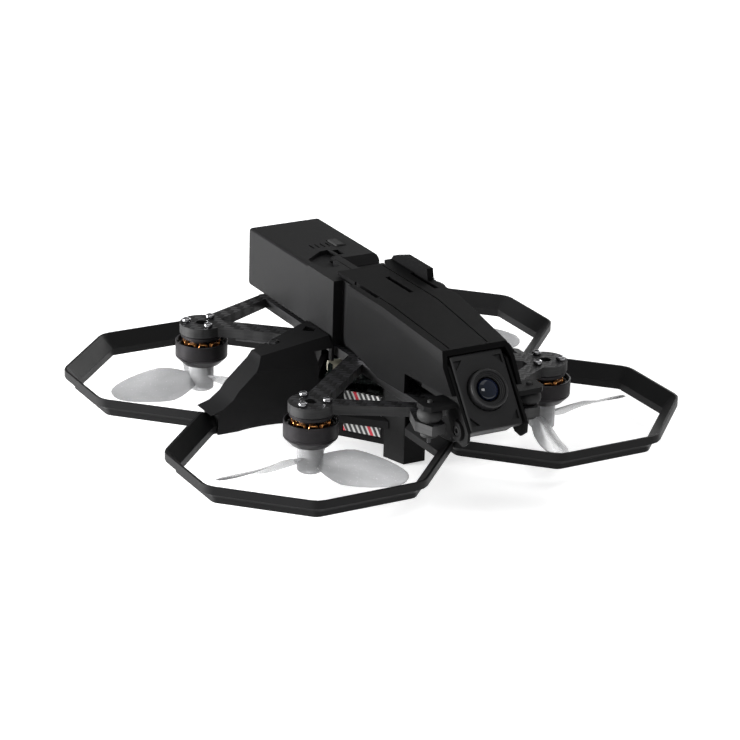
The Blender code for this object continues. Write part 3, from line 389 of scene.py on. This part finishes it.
def refined(name, material, width, slot, steps=2, angle=32.0, crisp=28.0):
    """Replace a CAD node by a copy of its shape with softly rounded edges."""
    source = frame["nodes"][name]
    bm = bmesh.new()
    bm.from_mesh(source.data)
    bmesh.ops.scale(bm, vec=(1000.0, 1000.0, 1000.0), verts=bm.verts)
    bmesh.ops.remove_doubles(bm, verts=bm.verts, dist=0.004)
    plain = bm.copy()
    bmesh.ops.dissolve_limit(bm, angle_limit=math.radians(0.6), verts=bm.verts, edges=bm.edges)
    bmesh.ops.connect_verts_concave(bm, faces=bm.faces)
    bmesh.ops.recalc_face_normals(bm, faces=bm.faces)
    if bm.calc_volume(signed=True) < 0.0:
        bmesh.ops.reverse_faces(bm, faces=bm.faces)
    if width > 0.0:
        sharp = []
        for edge in bm.edges:
            if len(edge.link_faces) == 2 and edge.calc_face_angle(0.0) > math.radians(crisp):
                sharp.append(edge)
        bmesh.ops.bevel(bm, geom=sharp, offset=width, segments=steps, profile=0.5,
                        affect="EDGES", clamp_overlap=True, miter_outer="ARC")
    # a face that folds when its edges are rounded shows as extra area: keep the plain shape then
    if abs(drawn_area(bm) / drawn_area(plain) - 1.0) > 0.05:
        bm.free()
        bm = plain
    else:
        plain.free()
    body = body_of(source)[0]
    return place(name + "_skin", bm, material, body, (name,), slot, angle, shifted=False)


def lathe(bm, profile, centre, segments=48, axis="Z", closed=True):
    """Spin a (radius, height) profile about an axis into a bmesh."""
    rings = []
    for step in range(segments):
        turn = 2.0 * math.pi * step / segments
        ring = []
        for radius, height in profile:
            point = Vector((radius * math.cos(turn), radius * math.sin(turn), height))
            if axis == "X":
                point = Vector((point.z, point.x, point.y))
            if axis == "Y":
                point = Vector((point.y, point.z, point.x))
            ring.append(bm.verts.new(point + Vector(centre)))
        rings.append(ring)
    count = len(profile)
    last = count if closed else count - 1
    for step in range(segments):
        here = rings[step]
        there = rings[(step + 1) % segments]
        for index in range(last):
            after = (index + 1) % count
            bm.faces.new((here[index], there[index], there[after], here[after]))
    return bm


def tube(bm, points, radius, sides=8, closed=False):
    """Sweep a round section along a path into a bmesh."""
    path = [Vector(point) for point in points]
    count = len(path)
    rings = []
    for index, point in enumerate(path):
        ahead = path[(index + 1) % count] if closed else path[min(index + 1, count - 1)]
        behind = path[index - 1] if closed else path[max(index - 1, 0)]
        along = (ahead - behind).normalized()
        side = along.cross(Vector((0.0, 0.0, 1.0)))
        side = side.normalized() if side.length > 0.05 else along.cross(Vector((1.0, 0.0, 0.0))).normalized()
        up = side.cross(along).normalized()
        rings.append([bm.verts.new(point + radius * (math.cos(turn) * side + math.sin(turn) * up))
                      for turn in (2.0 * math.pi * step / sides for step in range(sides))])
    last = count if closed else count - 1
    for index in range(last):
        here = rings[index]
        there = rings[(index + 1) % count]
        for step in range(sides):
            after = (step + 1) % sides
            bm.faces.new((here[step], here[after], there[after], there[step]))
    if not closed:
        bm.faces.new(rings[0])
        bm.faces.new(rings[-1])
    return bm


# ---------------------------------------------------------------- guards, body and arms
for label, sx, sy, angle in CORNERS:
    refined("guard_" + label, GUARD, 0.35, "shell_black", 3)
for name in ("side_fairing_right", "side_fairing_left", "nose_block", "release_latch"):
    refined(name, SHELL, 0.3, "shell_black")
refined("belly_tray", DARK, 0.25, "shell_black")
refined("canopy", LID, 0.35, "shell_black")
refined("battery_sleeve", SHELL, 0.3, "shell_black")
refined("battery_case", PACK, 0.35, "battery_black", 3)
refined("carbon_plate", CARBON, 0.12, "carbon_weave", 1)
refined("camera_cradle", DARK, 0.15, "shell_black")
refined("power_button", RUBBER, 0.2, "shell_black")
KEPT = (("battery_cells", ALLOY), ("battery_contacts", GOLD), ("power_socket", GOLD), ("video_unit", ALLOY),
        ("speed_controller", BOARD), ("receiver", BOARD), ("capacitor", WIRE),
        ("stripe_panel_right", STRIPES), ("stripe_panel_left", STRIPES), ("fairing_screw_right", BLUED),
        ("fairing_screw_left", BLUED))
for name, material in KEPT:
    holder = bpy.data.objects[name]
    if not holder.material_slots:
        holder.data.materials.append(material)
    for slot in holder.material_slots:
        slot.material = material

# circuit board with cream connectors
refined("flight_controller", BOARD, 0.08, "circuit_board", 1)
plugs = bmesh.new()
for turn in range(4):
    bm = bmesh.new()
    bmesh.ops.create_cube(bm, size=1.0)
    bmesh.ops.scale(bm, vec=(5.8, 5.8, 3.3), verts=bm.verts)
    bmesh.ops.translate(bm, verts=bm.verts, vec=(11.0, 0.0, 6.92))
    bmesh.ops.bevel(bm, geom=list(bm.edges), offset=0.25, segments=2, affect="EDGES", profile=0.5)
    bmesh.ops.rotate(bm, verts=bm.verts, matrix=Matrix.Rotation(math.radians(90.0 * turn), 3, "Z"))
    mesh = bpy.data.meshes.new("scratch")
    bm.to_mesh(mesh)
    bm.free()
    plugs.from_mesh(mesh)
    bpy.data.meshes.remove(mesh)
place("board_connectors", plugs, CREAM, "airframe", (), "circuit_board")

# ---------------------------------------------------------------- motors and propellers
def blade(bm, hand, turn):
    """Add one smooth propeller blade to a bmesh."""
    stations = [(3.4, 5.2, 1.5), (5.0, 6.9, 1.4), (7.0, 8.8, 1.3), (9.6, 10.8, 1.2), (12.5, 12.2, 1.1),
                (15.6, 12.7, 1.0), (19.0, 12.5, 0.9), (22.6, 11.7, 0.82), (26.0, 10.1, 0.72), (28.6, 8.2, 0.64),
                (30.4, 6.0, 0.56), (31.3, 3.9, 0.48), (31.7, 1.8, 0.42)]
    section = [(-0.5, 0.0), (-0.42, 0.26), (-0.25, 0.44), (-0.02, 0.5), (0.22, 0.4), (0.4, 0.2), (0.5, 0.0),
               (0.4, -0.16), (0.2, -0.26), (-0.05, -0.33), (-0.28, -0.3), (-0.44, -0.16)]
    rings = []
    for radius, chord, thick in stations:
        pitch = min(math.radians(40.0), math.atan(PROP_PITCH / (2.0 * math.pi * radius)))
        ring = []
        for along, up in section:
            lift = thick * 0.8 * up + 0.5 * (0.25 - along * along)
            flat = chord * along
            y = flat * math.cos(pitch) - lift * math.sin(pitch) * hand
            z = flat * math.sin(pitch) * hand + lift * math.cos(pitch)
            point = Matrix.Rotation(turn, 3, "Z") @ Vector((radius, y, z - 4.4))
            ring.append(bm.verts.new(point))
        rings.append(ring)
    for first, second in zip(rings, rings[1:]):
        for step in range(len(section)):
            after = (step + 1) % len(section)
            bm.faces.new((first[step], first[after], second[after], second[step]))
    bm.faces.new(rings[0])
    bm.faces.new(rings[-1])


for label, sx, sy, angle in CORNERS:
    rotor = "rotor_" + label
    x = sx * MOTOR_X
    y = sy * MOTOR_Y
    centre = (x, y, 0.0)
    hand = 1.0 if sx * sy > 0 else -1.0

    prop = bmesh.new()
    for step in range(3):
        blade(prop, hand, math.radians(angle + 120.0 * step))
    hub = [(1.1, -8.15), (3.0, -8.15), (3.5, -7.95), (3.9, -7.5), (3.95, -6.0), (3.95, -0.3), (3.8, 0.05),
           (3.3, 0.05), (3.0, -0.2), (2.9, -6.9), (1.7, -7.1), (1.65, -0.4), (1.1, -0.35)]
    lathe(prop, hub, (0.0, 0.0, 0.0), 40)
    for step in range(12):
        rib = bmesh.new()
        bmesh.ops.create_cube(rib, size=1.0)
        bmesh.ops.scale(rib, vec=(1.5, 0.4, 6.2), verts=rib.verts)
        bmesh.ops.translate(rib, verts=rib.verts, vec=(2.3, 0.0, -3.7))
        bmesh.ops.rotate(rib, verts=rib.verts, matrix=Matrix.Rotation(math.radians(30.0 * step), 3, "Z"))
        mesh = bpy.data.meshes.new("scratch")
        rib.to_mesh(mesh)
        rib.free()
        prop.from_mesh(mesh)
        bpy.data.meshes.remove(mesh)
    bmesh.ops.translate(prop, verts=prop.verts, vec=centre)
    place("propeller_moulding_" + label, prop, SMOKE, rotor, ("propeller_" + label,), "smoke_plastic")

    bell = bmesh.new()
    lathe(bell, [(1.05, 0.42), (2.6, 0.42), (3.0, 0.6), (5.6, 0.6), (5.95, 0.75), (8.0, 2.85), (8.15, 3.1),
                 (8.18, 3.4), (8.05, 3.55), (8.05, 3.75), (8.18, 3.9), (8.18, 8.0), (8.05, 8.17), (7.75, 8.2),
                 (7.62, 8.05), (7.6, 2.95), (5.4, 1.5), (1.05, 1.5)], centre, 64)
    place("bell_" + label, bell, BELL, rotor, ("motor_bell_" + label,), "bell_black")
    magnets = bmesh.new()
    lathe(magnets, [(6.72, 3.05), (7.28, 3.05), (7.28, 6.75), (6.72, 6.75)], centre, 48)
    place("magnets_" + label, magnets, MAGNET, rotor, ("magnet_ring_" + label,), "magnet_nickel")
    shaft = bmesh.new()
    lathe(shaft, [(0.0, -7.9), (0.55, -7.9), (0.75, -7.7), (0.75, 8.8), (0.6, 9.0), (0.0, 9.0)],
          centre, 20, "Z", False)
    place("shaft_" + label, shaft, STEEL, rotor, ("motor_shaft_" + label,), "screw_steel")

    base = bmesh.new()
    lathe(base, [(1.1, 2.65), (2.35, 2.65), (2.5, 2.8), (2.5, 9.3), (6.2, 9.3), (6.4, 9.5), (6.4, 10.3),
                 (6.25, 10.48), (1.1, 10.48)], centre, 40)
    place("motor_mount_" + label, base, BELL, "airframe", ("motor_base_" + label,), "alloy_grey")
    screws = bmesh.new()
    for step in range(3):
        turn = math.radians(90.0 * -sy + 120.0 * step)
        spot = Vector((x + 4.7 * math.cos(turn), y + 4.7 * math.sin(turn), 0.0))
        lathe(screws, [(0.0, 10.3), (0.8, 10.3), (0.8, 14.1), (1.42, 14.1), (1.45, 14.45), (1.3, 14.85),
                       (0.95, 15.1), (0.62, 15.15)], spot, 20, "Z", False)
        lathe(screws, [(0.62, 15.15), (0.6, 15.1), (0.58, 14.5), (0.0, 14.42)], spot, 6, "Z", False)
    place("mount_screws_" + label, screws, STEEL, "airframe", (), "screw_steel")

    core = bmesh.new()
    lathe(core, [(2.8, 3.7), (4.4, 3.7), (4.4, 8.7), (2.8, 8.7)], centre, 36)
    place("stator_core_" + label, core, BELL, "airframe", (), "alloy_grey")
    coil = bmesh.new()
    for tooth in range(9):
        heading = 2.0 * math.pi * tooth / 9.0 + 0.17
        out = Vector((math.cos(heading), math.sin(heading), 0.0))
        across = Vector((-out.y, out.x, 0.0))
        for wrap in range(4):
            reach = 4.05 + 0.5 * wrap
            half = 0.95 + 0.12 * wrap
            tall = 2.0 + 0.06 * (wrap % 2)
            loop = []
            for step in range(14):
                spin = 2.0 * math.pi * step / 14.0
                side = max(-1.0, min(1.0, 1.35 * math.cos(spin))) * half
                rise = max(-1.0, min(1.0, 1.35 * math.sin(spin))) * tall
                loop.append(Vector(centre) + out * reach + across * side + Vector((0.0, 0.0, 6.05 + rise)))
            tube(coil, loop, 0.26, 6, True)
    place("coils_" + label, coil, COPPER, "airframe", ("stator_winding_" + label,), "winding_copper", 60.0)

    start = Vector((sx * (MOTOR_X - 8.8), sy * (MOTOR_Y - 7.2), 9.75))
    end = Vector((sx * 21.4, sy * 20.2, 9.75))
    along = (end - start).normalized()
    across = Vector((-along.y, along.x, 0.0))
    leads = bmesh.new()
    for lane in (-1.35, 0.0, 1.35):
        path = [start.lerp(end, step / 8.0) + across * lane for step in range(9)]
        tube(leads, path, 0.48, 12)
    place("wires_" + label, leads, WIRE, "airframe", ("motor_lead_" + label,), "wire_black", 60.0)

# ---------------------------------------------------------------- dampers
for label, side in (("right", -1), ("left", 1)):
    spot = (side * 16.7, -64.6, 0.0)
    ball = bmesh.new()
    lathe(ball, [(0.0, 9.45), (2.4, 9.45), (2.58, 9.65), (2.58, 10.3), (2.4, 10.5), (1.9, 10.5), (1.85, 10.9),
                 (1.85, 13.9), (2.0, 14.15), (2.9, 14.3), (3.45, 14.9), (3.72, 15.7), (3.72, 16.3), (3.5, 17.0),
                 (2.9, 17.6), (2.2, 17.88), (0.8, 17.88), (0.8, 20.2), (0.6, 20.38), (0.0, 20.38)],
          spot, 40, "Z", False)
    place("damper_" + label, ball, RUBBER, "airframe", ("damper_ball_" + label,), "rubber_black", 50.0)
    pin = bmesh.new()
    lathe(pin, [(0.0, 7.22), (0.45, 7.22), (0.58, 7.4), (0.58, 9.45), (0.0, 9.45)], spot, 18, "Z", False)
    place("damper_pin_" + label, pin, BLUED, "airframe", (), "rubber_black")

# ---------------------------------------------------------------- camera
TILT = math.radians(37.0)
FACE_DOWN = Vector((0.0, -math.sin(TILT), -math.cos(TILT)))
FACE_OUT = Vector((0.0, -math.cos(TILT), math.sin(TILT)))
FACE_TOP = Vector((0.0, -60.9, 31.2))
LENS_DOWN = 11.8


def tilted(bm):
    """Carry a bmesh from (across, down the face, out of the face) into the frame."""
    for vert in bm.verts:
        across, down, out = vert.co
        vert.co = FACE_TOP + FACE_DOWN * down + FACE_OUT * out + Vector((across, 0.0, 0.0))
    return bm


refined("camera_head", HEAD, 0.2, "lens_black")
barrel = bmesh.new()
lathe(barrel, [(3.72, -1.1), (6.0, -1.1), (6.03, 1.8), (5.9, 2.15), (5.6, 2.45), (5.3, 2.55), (5.1, 2.5),
               (4.98, 2.2), (4.9, 1.9), (4.62, 1.85), (4.55, 1.55), (4.25, 1.5), (4.18, 1.2), (3.85, 1.15),
               (3.72, 0.9)],
      (0.0, LENS_DOWN, 0.0), 72)
place("lens_rings", tilted(barrel), HEAD, "camera", ("lens_barrel",), "lens_black", 24.0)
optic = bmesh.new()
profile = [(0.0, -0.95), (3.28, -0.95), (3.3, 0.85)]
for step in range(1, 8):
    turn = step * math.pi / 16.0
    profile.append((3.3 * math.cos(turn), 0.85 + 1.2 * math.sin(turn)))
lathe(optic, profile + [(0.0, 2.05)], (0.0, LENS_DOWN, 0.0), 56, "Z", False)
place("lens_front", tilted(optic), GLASS, "camera", ("lens_glass",), "lens_glass", 60.0)

# ---------------------------------------------------------------- floor, light and camera
floor_material, tree, shader, coords = new_material("studio_floor")
paper = noise(tree, coords, 6.0, 4.0)
tone = ramp(tree, paper, ((0.3, (0.86, 0.86, 0.86)), (0.7, (0.9, 0.9, 0.9))))
tree.links.new(tone, shader.inputs["Base Color"])
shader.inputs["Roughness"].default_value = 0.9
shader.inputs["Specular IOR Level"].default_value = 0.1
shader.inputs["Emission Color"].default_value = (1.0, 1.0, 1.0, 1.0)
shader.inputs["Emission Strength"].default_value = 0.55
sheet = bmesh.new()
bmesh.ops.create_grid(sheet, x_segments=2, y_segments=2, size=6.0)
floor_mesh = bpy.data.meshes.new("floor")
sheet.to_mesh(floor_mesh)
sheet.free()
floor_mesh.materials.append(floor_material)
floor = bpy.data.objects.new("floor", floor_mesh)
floor.location = (0.0, 0.0, low.z - 0.0002)
bpy.context.scene.collection.objects.link(floor)

world = bpy.data.worlds.new("studio")
world.use_nodes = True
world.node_tree.nodes["Background"].inputs["Color"].default_value = (1.0, 1.0, 1.0, 1.0)
world.node_tree.nodes["Background"].inputs["Strength"].default_value = 0.36
bpy.context.scene.world = world
middle = (low + high) / 2.0


def softbox(name, place_at, size, power, colour=(1.0, 1.0, 1.0)):
    """Add an area light aimed at the middle of the object."""
    data = bpy.data.lights.new(name, "AREA")
    data.shape = "RECTANGLE"
    data.size = size[0]
    data.size_y = size[1]
    data.energy = power
    data.color = colour
    lamp = bpy.data.objects.new(name, data)
    lamp.location = middle + Vector(place_at)
    lamp.rotation_euler = (middle - lamp.location).to_track_quat("-Z", "Y").to_euler()
    bpy.context.scene.collection.objects.link(lamp)


softbox("side_key", (-0.85, 0.3, 0.12), (0.3, 0.3), 26.0)
softbox("front_top", (-0.1, -0.75, 0.75), (0.4, 0.2), 2.0)
softbox("overhead", (0.1, 0.1, 1.1), (0.9, 0.9), 2.5)
softbox("far_rim", (0.7, 0.5, 0.35), (0.3, 0.5), 2.5)

AZIMUTH = math.radians(-29.63)
ELEVATION = math.radians(21.17)
ROLL = math.radians(1.71)
back = Vector((math.sin(AZIMUTH) * math.cos(ELEVATION), -math.cos(AZIMUTH) * math.cos(ELEVATION),
               math.sin(ELEVATION)))
right = Vector((math.cos(AZIMUTH), math.sin(AZIMUTH), 0.0))
up = back.cross(right)
turned_right = right * math.cos(ROLL) + up * math.sin(ROLL)
turned_up = up * math.cos(ROLL) - right * math.sin(ROLL)
data = bpy.data.cameras.new("camera_view")
data.sensor_width = 36.0
data.lens = 140.05
data.clip_start = 0.02
viewer = bpy.data.objects.new("camera_view", data)
aim = Vector((0.0, -24.07, 0.0)) + FRAME_SHIFT
place_at = (back * 872.13 - turned_right * 11.63 + turned_up * 11.72 + aim) * MM
turned = Matrix((turned_right, turned_up, back)).transposed().to_4x4()
viewer.matrix_world = Matrix.Translation(place_at) @ turned
bpy.context.scene.collection.objects.link(viewer)
bpy.context.scene.camera = viewer
bpy.context.scene.view_settings.view_transform = "Standard"
